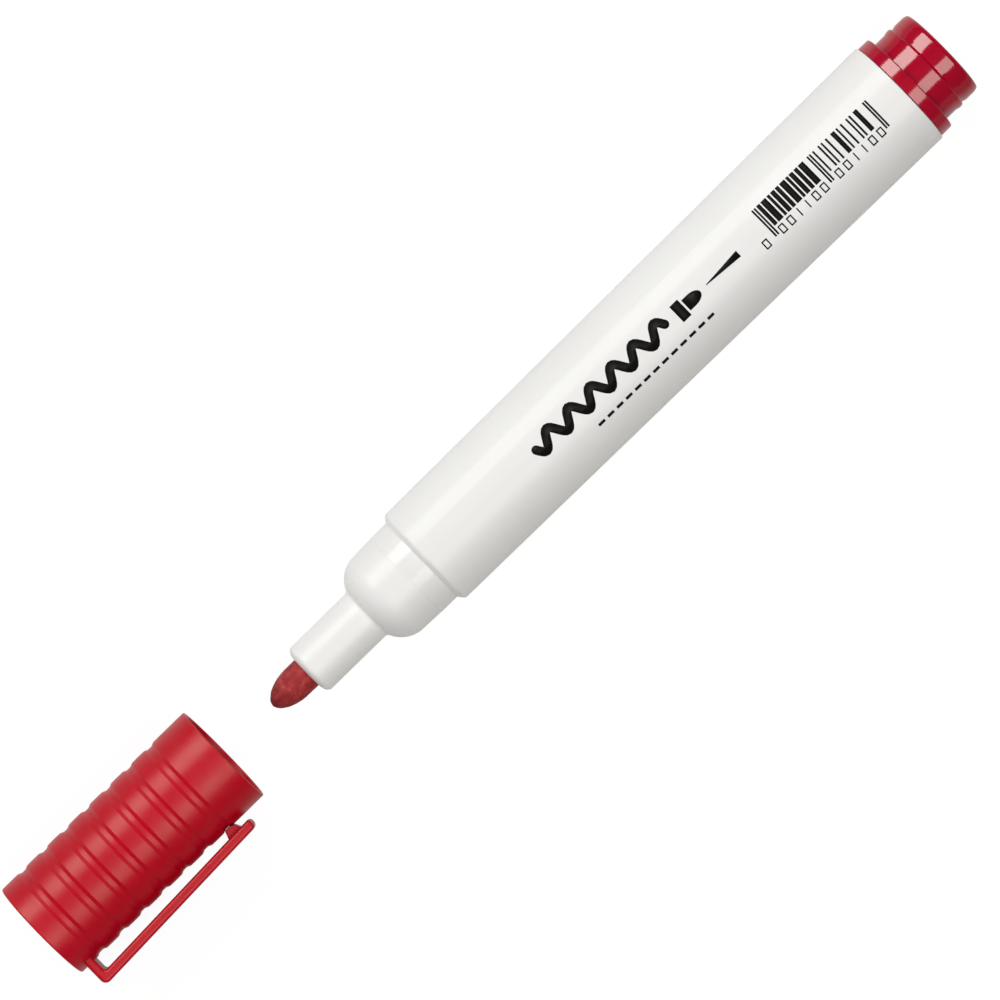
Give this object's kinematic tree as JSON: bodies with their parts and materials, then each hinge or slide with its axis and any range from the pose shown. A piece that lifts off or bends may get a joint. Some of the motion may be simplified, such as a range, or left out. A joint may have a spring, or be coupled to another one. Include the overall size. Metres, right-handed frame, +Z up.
{
  "type": "whiteboard marker",
  "caption": "Bullet-nib whiteboard marker lying on its side, grooved clip cap pulled off in front of the nib and able to slide back on.",
  "frame": {"origin": "bottom centre of the bounding box, on the surface that the marker lies on, cap pulled off in front of the nib", "axes": "+X along the marker towards its tail plug, +Z up, the cap's clip level on the -Y side"},
  "size_m": [0.175, 0.0202, 0.0171],
  "materials": {
    "white_plastic": "smooth moulded, semi-gloss",
    "red_plastic": "smooth moulded, satin",
    "nib_fibre": "pressed fibre, matt",
    "inked_fibre": "fibre bundle soaked with ink",
    "clear_film": "thin film",
    "natural_plastic": "uncoloured moulded plastic"
  },
  "bodies": {
    "pen": {"barrel": "white_plastic", "front_section": "white_plastic", "nib": "nib_fibre", "reservoir_core": "inked_fibre", "reservoir_sleeve": "clear_film", "tail_plug": "red_plastic"},
    "seal": {"cap_inner_seal": "natural_plastic"},
    "cap": {"cap_shell": "red_plastic"},
    "clip": {"cap_clip": "red_plastic"}
  },
  "joints": [
    {"name": "cap_slide", "type": "slide", "parent": "pen", "child": "seal", "axis": [1, 0, 0], "range_m": [0, 0.0382]},
    {"name": "cap_spin", "type": "hinge", "parent": "seal", "child": "cap", "pos_m": [-0.07, 0.00149, 0.00857], "axis": [-1, 0, 0], "continuous": true},
    {"name": "clip_flex", "type": "hinge", "parent": "cap", "child": "clip", "pos_m": [-0.08549, -0.00651, 0.00857], "axis": [0, 0, -1], "range_deg": [0, 6], "stiffness_Nm_per_rad": 0.6}
  ]
}
